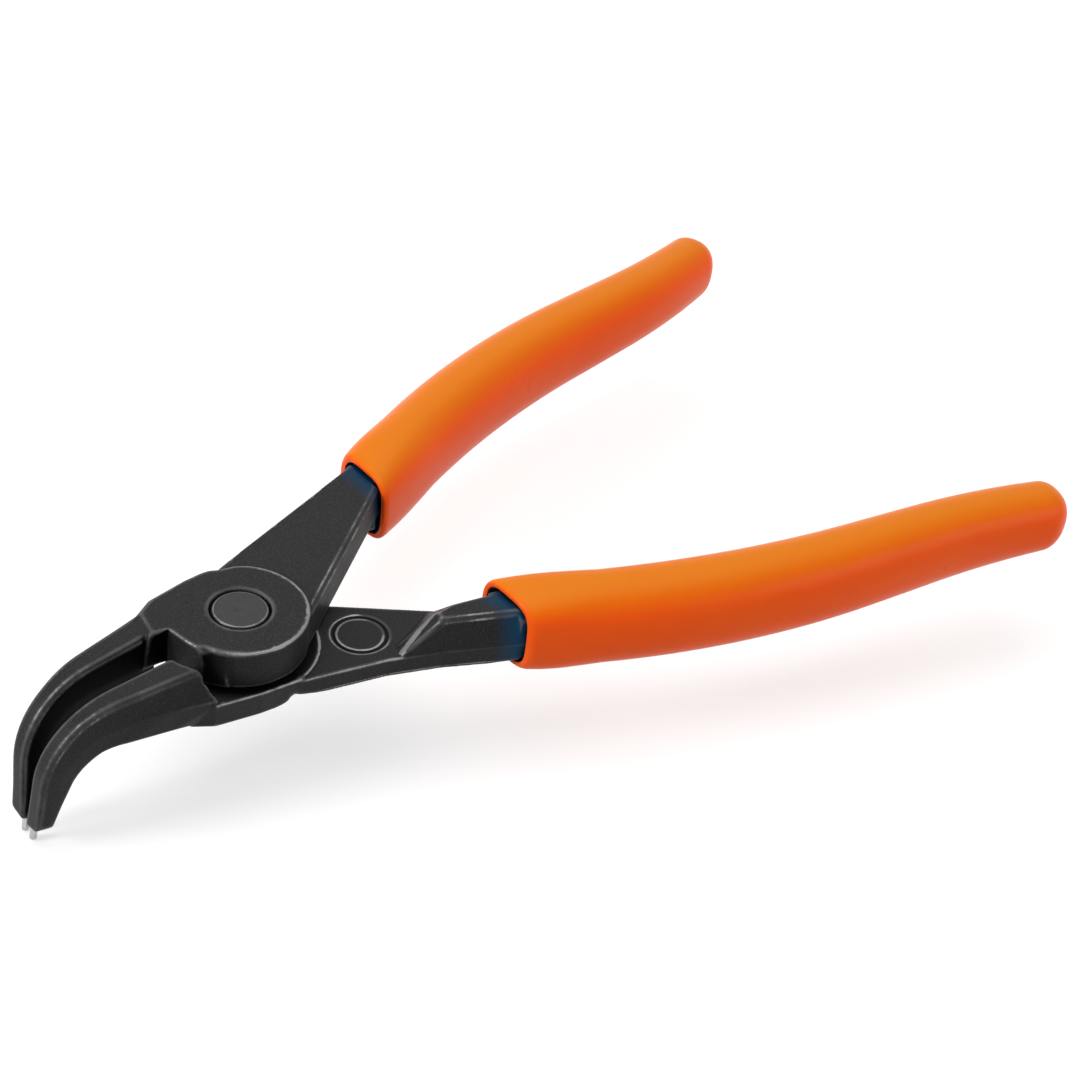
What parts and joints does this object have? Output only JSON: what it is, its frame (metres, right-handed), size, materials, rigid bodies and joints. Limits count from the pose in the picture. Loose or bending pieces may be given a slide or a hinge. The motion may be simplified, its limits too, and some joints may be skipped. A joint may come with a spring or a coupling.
{
  "type": "bent jaw circlip pliers",
  "caption": "Circlip pliers for outside rings: two forged levers on one rivet, jaws bent square with round tip pins, dipped grips.",
  "frame": {"origin": "on the rivet's axis, level with the underside of the joint's lower boss", "axes": "+X from the rivet towards the handles, midway between them; -X towards the jaws; +Z along the rivet's axis, away from the side to which the jaws bend; +Y towards the upper lever's handle"},
  "size_m": [0.1691, 0.0972, 0.0279],
  "materials": {
    "black_steel": "black phosphated forging, satin with fine grain, bright where edges are worn",
    "rivet_steel": "turned and blackened, satin",
    "pin_steel": "bright drawn spring steel",
    "orange_sleeve": "dipped soft vinyl, orange, satin"
  },
  "bodies": {
    "lower_half": {"lower_lever": "black_steel", "pivot_rivet": "rivet_steel", "lower_tip_pin": "pin_steel", "lower_grip": "orange_sleeve"},
    "upper_half": {"upper_lever": "black_steel", "upper_tip_pin": "pin_steel", "upper_grip": "orange_sleeve"}
  },
  "joints": [
    {"name": "pivot", "type": "hinge", "parent": "lower_half", "child": "upper_half", "pos_m": [0, 0, 0.0059], "axis": [0, 0, 1], "range_deg": [-30, 0.4]}
  ]
}
